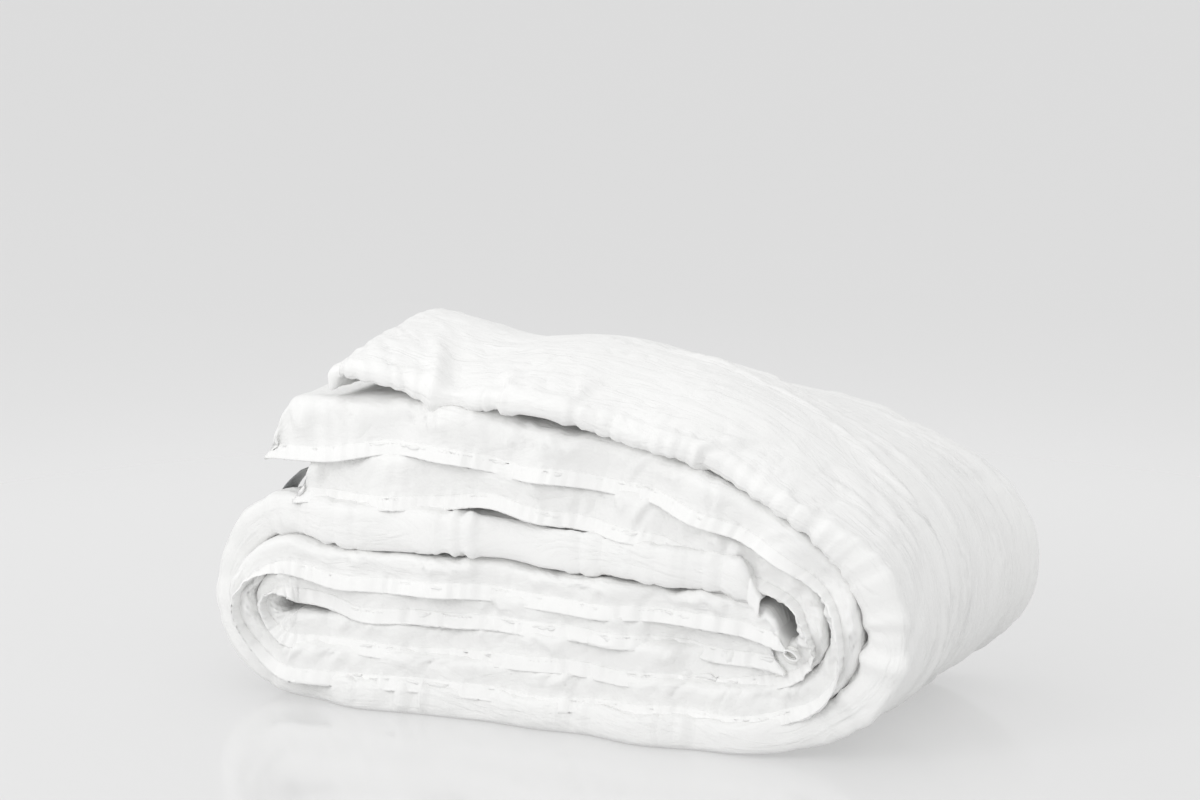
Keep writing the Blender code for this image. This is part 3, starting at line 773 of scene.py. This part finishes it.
def endBinding(name, atStart):
    v = bindingValues
    deep = np.arange(v["bandColumns"], -1, -1)
    if not atStart:
        deep = grid.shape[0] - 1 - deep
    upper = np.arange(v["bandColumns"], upperCount - v["bandColumns"])
    lower = grid.shape[1] - upper
    places = np.concatenate([grid[deep][:, upper], grid[deep[::-1]][:, lower]])
    normal = np.concatenate([normals[deep][:, upper], normals[deep[::-1]][:, lower]])
    stations = np.concatenate([along[deep][:, upper], along[deep[::-1]][:, lower]])
    seam = deep[1]
    lines = [(grid[seam, half], normals[seam, half], along[seam, half]) for half in (upper, lower)]
    return bindingPiece(name, places, normal, stations, lines)


bindingB = sideBinding("sideBindingB", 0)
bindingC = sideBinding("sideBindingC", upperCount - 1)
bindingLoose = endBinding("endBindingLoose", True)
bindingInner = endBinding("endBindingInner", False)


def turnedPiece(name, profile, centre, axis, steps=40):
    # (radius, height) points spun once round the axis; the first and last lie on it
    side = np.cross(axis, [0.0, 1.0, 0.0])
    side /= np.linalg.norm(side)
    bm = bmesh.new()
    corners = [bm.verts.new(centre + side * radius + axis * height) for radius, height in profile]
    edges = [bm.edges.new(pair) for pair in zip(corners, corners[1:])]
    bmesh.ops.spin(bm, geom=corners + edges, cent=centre, axis=axis, angle=2 * math.pi, steps=steps, use_merge=True)
    return finishedPiece(bpy.data.meshes.new(name), bm, mergeWithin=1e-5)


studValues = {
    "fromHem": 0.022, "further": 0.020,
    # radius and height: a cap with a rolled rim and a dished face, and its flatter socket
    "cap": [(0, -0.0008), (0.0070, -0.0008), (0.0080, -0.0002), (0.0082, 0.0008), (0.0078, 0.0017), (0.0069, 0.0021),
            (0.0060, 0.0018), (0.0053, 0.0014), (0.0040, 0.0015), (0.0028, 0.0019), (0.0022, 0.0018),
            (0.0016, 0.0012), (0, 0.0011)],
    "socket": [(0, -0.0008), (0.0070, -0.0008), (0.0080, 0.0000), (0.0080, 0.0008), (0.0070, 0.0014),
               (0.0046, 0.0014), (0.0042, 0.0022), (0.0030, 0.0023), (0.0026, 0.0010), (0, 0.0008)],
    "near": (0.30, 0.42),     # search for its place this far past the right bend, and this far to each side
}


def studSpot(face):
    # on the innermost ply beside its hem, on the eye side (face 1) or between the plies (face -1)
    v = studValues
    low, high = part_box("press_stud_cap")
    middle = (np.array(low) + np.array(high)) / 2
    w = (1 - share) * duvetValues["laneCloth"]
    candidates = np.nonzero((part == 6) & (level == face))[0]
    column = candidates[np.argmin(np.abs(w[candidates] - v["fromHem"]))]
    near = np.abs(along[:, column] - (sRightBend + v["near"][0]))
    rows = np.nonzero(near < v["near"][1])[0]
    row = rows[np.argmin(np.linalg.norm(grid[rows, column] - middle, axis=1))]
    row += int(v["further"] / duvetValues["alongStep"])
    return grid[row, column], normals[row, column]


studCap = turnedPiece("studCap", studValues["cap"], *studSpot(1))
studSocket = turnedPiece("studSocket", studValues["socket"], *studSpot(-1))

labelValues = {
    "thickness": 0.0007, "curl": 0.0030, "rows": 22, "columns": 14, "fold": 0.0016, "foldAt": (0.80, 0.84),
}


def buildLabel():
    # a short satin ribbon that hangs from its sewn edge, curled a little, with its free end turned under
    v = labelValues
    low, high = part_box("care_label")
    top = np.array([high[0], 0.0, high[2]])
    bottom = np.array([low[0], 0.0, low[2]])
    down = (bottom - top) / np.linalg.norm(bottom - top)
    out = np.array([down[2], 0.0, -down[0]])
    u = np.linspace(0, 1, v["rows"])[:, None, None]
    t = np.linspace(0, 1, v["columns"])[None, :, None]
    length = np.linalg.norm(bottom - top)
    wave = v["curl"] * (np.sin(u * np.pi * 0.9) + 0.25 * np.sin(t * 7.0 + u * 3.0) * u)
    base = top + down * (0.001 + u * (length - 0.002)) + out * wave
    base = base + np.array([0.0, 1.0, 0.0]) * (low[1] + (high[1] - low[1]) * t)
    turned = v["fold"] * smoothStep(*v["foldAt"], u)
    outside, inside = base + out * v["thickness"] / 2, base - out * (v["thickness"] / 2 + turned)
    points, faces = solidFromGrids(outside, inside)
    return meshPiece("careLabel", points, [faces])


careLabel = buildLabel()

loopValues = {"thickness": 0.0011, "width": 0.0080, "reach": 0.0150, "height": 0.0070, "column": 2}


def buildLoop():
    # a loop of narrow tape sewn to the corner where side hem and inner end meet
    v = loopValues
    start = grid[-1, v["column"]]
    ahead = start - grid[-8, v["column"]]
    ahead /= np.linalg.norm(ahead)
    up = np.cross(ahead, [0.0, 1.0, 0.0])
    angle = np.linspace(-np.pi, np.pi, 41)
    droop = (np.cos(angle / 2) ** 2)[:, None]
    middle = start + ahead * (v["reach"] * droop - 0.002) + up * (v["height"] / 2 * np.sin(angle))[:, None]
    tangent = np.gradient(middle, axis=0)
    tangent /= np.linalg.norm(tangent, axis=1, keepdims=True)
    out = np.cross(tangent, [0.0, 1.0, 0.0])
    y = np.linspace(0, v["width"], 6)[None, :, None] * np.array([0.0, 1.0, 0.0])
    outside = (middle + out * v["thickness"] / 2)[:, None] + y
    inside = (middle - out * v["thickness"] / 2)[:, None] + y
    points, faces = solidFromGrids(outside, inside)
    return meshPiece("cornerLoop", points, [faces])


cornerLoop = buildLoop()


def addNode(tree, kind, settings=None, links=None):
    node = tree.nodes.new(kind)
    for key, value in (settings or {}).items():
        if isinstance(key, str) and hasattr(node, key):
            setattr(node, key, value)
        else:
            node.inputs[key].default_value = value
    for socket, source in (links or {}).items():
        tree.links.new(source, node.inputs[socket])
    return node


def newMaterial(name):
    material = bpy.data.materials.new(name)
    material.use_nodes = True
    tree = material.node_tree
    return material, tree, tree.nodes["Principled BSDF"]


# what the three woven materials share: noise scales in cycles per metre, crease stretch and bump strengths
wovenValues = {
    "cloudScale": 9.0, "fineScale": 70.0, "creaseStretch": (14.0, 46.0, 30.0), "creaseTwist": 1.2,
    "creaseStrength": 0.85, "crinkleStrength": 0.60, "weaveStrength": 0.5, "sheenRoughness": 0.35, "ior": 1.47,
}

# Down-proof cotton percale: a very tight plain weave, calendered, so it is mostly matte with a low soft sheen
# and faint glints along its creases. The threads are 0.25 mm apart; the pattern is drawn at 0.9 mm to show at all.
cottonLook = {
    "colour": "#F7F7F6", "shaded": "#F0F0EF", "roughness": (0.46, 0.62), "sheen": 0.10, "thread": 0.0009,
    "weaveDepth": 0.00006, "crinkleDepth": 0.0016, "creaseDepth": 0.0044,
}


def weaveHeight(tree, vector, thread):
    # warp and weft as two crossed waves; a wave texture of scale k repeats every pi / (10 k)
    height = None
    for direction in ("X", "Y"):
        wave = addNode(tree, "ShaderNodeTexWave", {"wave_type": "BANDS", "bands_direction": direction,
                                                   "wave_profile": "SIN", "Scale": math.pi / (10 * thread),
                                                   "Distortion": 0.4, "Detail": 1.0}, {"Vector": vector})
        if height is None:
            height = wave.outputs["Fac"]
        else:
            height = addNode(tree, "ShaderNodeMath", {"operation": "MULTIPLY"},
                             {0: height, 1: wave.outputs["Fac"]}).outputs[0]
    return height


def addBump(tree, height, distance, strength, normal=None):
    links = {"Height": height}
    if normal is not None:
        links["Normal"] = normal
    return addNode(tree, "ShaderNodeBump", {"Distance": distance, "Strength": strength}, links).outputs["Normal"]


def mottle(tree, shader, look, place, scale, detail):
    # slow change between the two colours of a look
    slow = addNode(tree, "ShaderNodeTexNoise", {"Scale": scale, "Detail": detail}, {"Vector": place})
    tone = addNode(tree, "ShaderNodeMix", {"data_type": "RGBA", 6: linearColour(look["shaded"]),
                                           7: linearColour(look["colour"])}, {"Factor": slow.outputs["Fac"]})
    tree.links.new(tone.outputs[2], shader.inputs["Base Color"])
    return slow


def uneven(tree, shader, look, source):
    # roughness that wanders between the two values of a look
    rough = addNode(tree, "ShaderNodeMapRange", {"To Min": look["roughness"][0], "To Max": look["roughness"][1]},
                    {"Value": source.outputs["Fac"]})
    tree.links.new(rough.outputs["Result"], shader.inputs["Roughness"])


def percale(name, look, onCloth):
    v = wovenValues
    material, tree, shader = newMaterial(name)
    place = addNode(tree, "ShaderNodeTexCoord").outputs["Object"]
    woven = place
    if onCloth:
        woven = addNode(tree, "ShaderNodeAttribute", {"attribute_name": "onCloth"}).outputs["Vector"]
    slow = mottle(tree, shader, look, place, v["cloudScale"], 4.0)
    slow.inputs["Roughness"].default_value = 0.6
    fine = addNode(tree, "ShaderNodeTexNoise", {"Scale": v["fineScale"], "Detail": 6.0, "Roughness": 0.62},
                   {"Vector": place})
    uneven(tree, shader, look, fine)
    # creases: a stretched noise, folded so that it has sharp crests
    stretched = addNode(tree, "ShaderNodeMapping", {"Scale": v["creaseStretch"]}, {"Vector": woven})
    long = addNode(tree, "ShaderNodeTexNoise", {"Scale": 1.0, "Detail": 5.0, "Roughness": 0.55,
                                                "Distortion": v["creaseTwist"]},
                   {"Vector": stretched.outputs["Vector"]})
    centred = addNode(tree, "ShaderNodeMath", {"operation": "SUBTRACT", 1: 0.5}, {0: long.outputs["Fac"]})
    crest = addNode(tree, "ShaderNodeMath", {"operation": "ABSOLUTE"}, {0: centred.outputs[0]})
    normal = addBump(tree, crest.outputs[0], look["creaseDepth"], v["creaseStrength"])
    normal = addBump(tree, fine.outputs["Fac"], look["crinkleDepth"], v["crinkleStrength"], normal)
    normal = addBump(tree, weaveHeight(tree, woven, look["thread"]), look["weaveDepth"], v["weaveStrength"], normal)
    tree.links.new(normal, shader.inputs["Normal"])
    shader.inputs["Sheen Weight"].default_value = look["sheen"]
    shader.inputs["Sheen Roughness"].default_value = v["sheenRoughness"]
    shader.inputs["IOR"].default_value = v["ior"]
    return material


# Hem tape: the same cotton folded double and stitched flat, so it is denser, a little whiter and less creased.
tapeLook = {
    "colour": "#F9F9F8", "shaded": "#F3F3F2", "roughness": (0.50, 0.66), "sheen": 0.08, "thread": 0.0009,
    "weaveDepth": 0.00008, "crinkleDepth": 0.0010, "creaseDepth": 0.0012,
}
# Label: grey satin ribbon, blank, with fine cross ribs and a soft shine.
labelLook = {
    "colour": "#B4B6B7", "shaded": "#A8AAAB", "roughness": (0.34, 0.46), "sheen": 0.15, "thread": 0.0007,
    "weaveDepth": 0.00010, "crinkleDepth": 0.0006, "creaseDepth": 0.0006,
}
cotton = percale("downProofPercale", cottonLook, True)
tape = percale("stitchedHemTape", tapeLook, False)
ribbon = percale("greySatinRibbon", labelLook, False)

# Press stud: injection-moulded white polymer, smooth, with a faint flow mottling and a soft gloss.
studLook = {
    "colour": "#EFEFED", "shaded": "#E6E6E3", "roughness": (0.26, 0.38), "flowScale": 260.0, "flowDepth": 0.0001,
    "ior": 1.49, "coat": 0.2, "coatRoughness": 0.12,
}


def moulded(name, look):
    material, tree, shader = newMaterial(name)
    place = addNode(tree, "ShaderNodeTexCoord").outputs["Object"]
    flow = mottle(tree, shader, look, place, look["flowScale"], 3.0)
    uneven(tree, shader, look, flow)
    tree.links.new(addBump(tree, flow.outputs["Fac"], look["flowDepth"], 0.3), shader.inputs["Normal"])
    shader.inputs["IOR"].default_value = look["ior"]
    shader.inputs["Coat Weight"].default_value = look["coat"]
    shader.inputs["Coat Roughness"].default_value = look["coatRoughness"]
    return material


polymer = moulded("mouldedStud", studLook)
print("materials", [material.name for material in (cotton, tape, ribbon, polymer)])

duvet.data.materials.append(cotton)
for piece, material, node, body, slot in ((studCap, polymer, "press_stud_cap", "roll", "stud_plastic"),
                                          (studSocket, polymer, "press_stud_socket", "roll", "stud_plastic"),
                                          (careLabel, ribbon, "care_label", "label", "label_cloth"),
                                          (cornerLoop, tape, "corner_loop", "roll", "hem_tape")):
    piece.data.materials.append(material)
    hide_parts(node)
    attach(piece, body)

bindings = {bindingB: "side_binding_b", bindingC: "side_binding_c",
            bindingLoose: "end_binding_loose_end", bindingInner: "end_binding_inner_end"}
bodyNodes = [name for name in frame["nodes"]
             if name.startswith(("upper_shell", "lower_shell", "down_pocket", "cross_baffle", "fold_baffle"))]
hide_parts(*bodyNodes)
for piece, node in bindings.items():
    piece.data.materials.append(tape)
    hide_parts(*[name for name in frame["nodes"] if name.startswith(node)])

liftValues = {
    "half": 0.045,            # the loose end bends up over twice this much cloth
    "beyond": 0.14,           # cloth this far past the hinge stays on the roll
}
liftJoint = next(j for j in frame["joints"] if j["name"] == "loose_end_lift")
hinge = Vector(liftJoint["pos_m"])
topRun = 2 * wrapValues["samples"]     # the wrap's samples as far as the right bend
crossing = float(np.interp(hinge.x, wrap["point"][:topRun, 0], wrap["distance"][:topRun]))
print("the lift crosses the cloth at", round(crossing, 4), "m")


def crossLift(piece):
    # the runs below the lifted one stay on the roll, so weights go by place on the cloth, not in space
    across = Vector((liftValues["half"], 0, 0))
    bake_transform(piece, "roll", "loose_end", start=hinge + across, end=hinge - across)
    weights = piece.data.attributes["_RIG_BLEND"]
    values = np.zeros(len(piece.data.vertices), np.float32)
    weights.data.foreach_get("value", values)
    stations = np.zeros(len(values) * 3, np.float32)
    piece.data.attributes["onCloth"].data.foreach_get("vector", stations)
    values[stations[::3] > crossing + liftValues["beyond"]] = 0.0
    weights.data.foreach_set("value", values)


for piece in (duvet, bindingB, bindingC):
    crossLift(piece)
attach(bindingLoose, "loose_end")
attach(bindingInner, "roll")

# floor and backdrop: one pale sweep
sweepValues = {
    "front": -7.0, "back": 2.6, "curve": 6.0, "top": 8.0, "half": 9.0, "steps": 40, "below": 0.0004,
    "floor": "#B0B0B0", "glow": 0.29, "ior": 1.49,
    "roughness": (0.12, 0.75), "glossyTo": (0.8, 2.2),   # polished near the middle, dull from the second distance
}


def buildSweep():
    v = sweepValues
    bm = bmesh.new()
    edge = bm.edges.new([bm.verts.new((x, v["front"], -v["below"])) for x in (-v["half"], v["half"])])
    path = [(v["back"], 0.0)]
    for step in range(1, v["steps"] + 1):
        angle = step / v["steps"] * math.pi / 2
        path.append((v["back"] + v["curve"] * math.sin(angle), v["curve"] * (1 - math.cos(angle))))
    path.append((v["back"] + v["curve"], v["top"]))
    for y, z in path:
        new = bmesh.ops.extrude_edge_only(bm, edges=[edge])["geom"]
        for vertex in (g for g in new if isinstance(g, bmesh.types.BMVert)):
            vertex.co = (vertex.co.x, y, z - v["below"])
        edge = next(g for g in new if isinstance(g, bmesh.types.BMEdge))
    sweep = finishedPiece(bpy.data.meshes.new("studioSweep"), bm)
    # white acrylic floor sheet: smooth, with a soft reflection
    material, tree, shader = newMaterial("whiteAcrylicSweep")
    shader.inputs["Base Color"].default_value = linearColour(v["floor"])
    # polished where the object stands, and duller with distance, as dust and distance blur it
    place = addNode(tree, "ShaderNodeTexCoord").outputs["Object"]
    away = addNode(tree, "ShaderNodeVectorMath", {"operation": "LENGTH"}, {0: place}).outputs["Value"]
    dull = addNode(tree, "ShaderNodeMapRange", {"From Min": v["glossyTo"][0], "From Max": v["glossyTo"][1],
                                                "To Min": v["roughness"][0], "To Max": v["roughness"][1]},
                   {"Value": away})
    tree.links.new(dull.outputs["Result"], shader.inputs["Roughness"])
    shader.inputs["IOR"].default_value = v["ior"]
    shader.inputs["Emission Color"].default_value = (1.0, 1.0, 1.0, 1.0)
    shader.inputs["Emission Strength"].default_value = v["glow"]
    sweep.data.materials.append(material)


buildSweep()

lightValues = {
    "world": "#FFFFFF", "worldStrength": 0.95,
    "key": {"place": (-1.4, -3.0, 1.8), "size": 1.5, "power": 24.0},
    "top": {"place": (-0.6, 0.0, 2.5), "size": 1.5, "power": 1.5},
    "aim": (0.0, 0.0, 0.15),
}


def addLights():
    v = lightValues
    world = bpy.data.worlds.new("studio")
    bpy.context.scene.world = world
    world.use_nodes = True
    background = world.node_tree.nodes["Background"]
    background.inputs["Color"].default_value = linearColour(v["world"])
    background.inputs["Strength"].default_value = v["worldStrength"]
    for name in ("key", "top"):
        lamp = bpy.data.lights.new(name, "AREA")
        lamp.shape = "SQUARE"
        lamp.size = v[name]["size"]
        lamp.energy = v[name]["power"]
        holder = bpy.data.objects.new(name, lamp)
        holder.location = v[name]["place"]
        towards = Vector(v["aim"]) - Vector(v[name]["place"])
        holder.rotation_euler = towards.to_track_quat("-Z", "Y").to_euler()
        bpy.context.scene.collection.objects.link(holder)


addLights()

cameraValues = {
    "place": (1.4556, -3.3271, 0.9759), "azimuth": 24.0, "elevation": 11.0,
    "lens": 120.0, "sensor": 36.0, "seesTo": 50.0,
}


def addCamera():
    v = cameraValues
    camera = bpy.data.objects.new("camera", bpy.data.cameras.new("camera"))
    camera.data.lens = v["lens"]
    camera.data.sensor_width = v["sensor"]
    camera.location = v["place"]
    azimuth, elevation = math.radians(v["azimuth"]), math.radians(v["elevation"])
    back = Vector((math.sin(azimuth) * math.cos(elevation), -math.cos(azimuth) * math.cos(elevation),
                   math.sin(elevation)))
    camera.rotation_euler = (-back).to_track_quat("-Z", "Y").to_euler()
    camera.data.clip_end = v["seesTo"]
    bpy.context.scene.collection.objects.link(camera)
    bpy.context.scene.camera = camera


addCamera()
bpy.context.scene.view_settings.view_transform = "Standard"
print("floor, lights and camera ready")
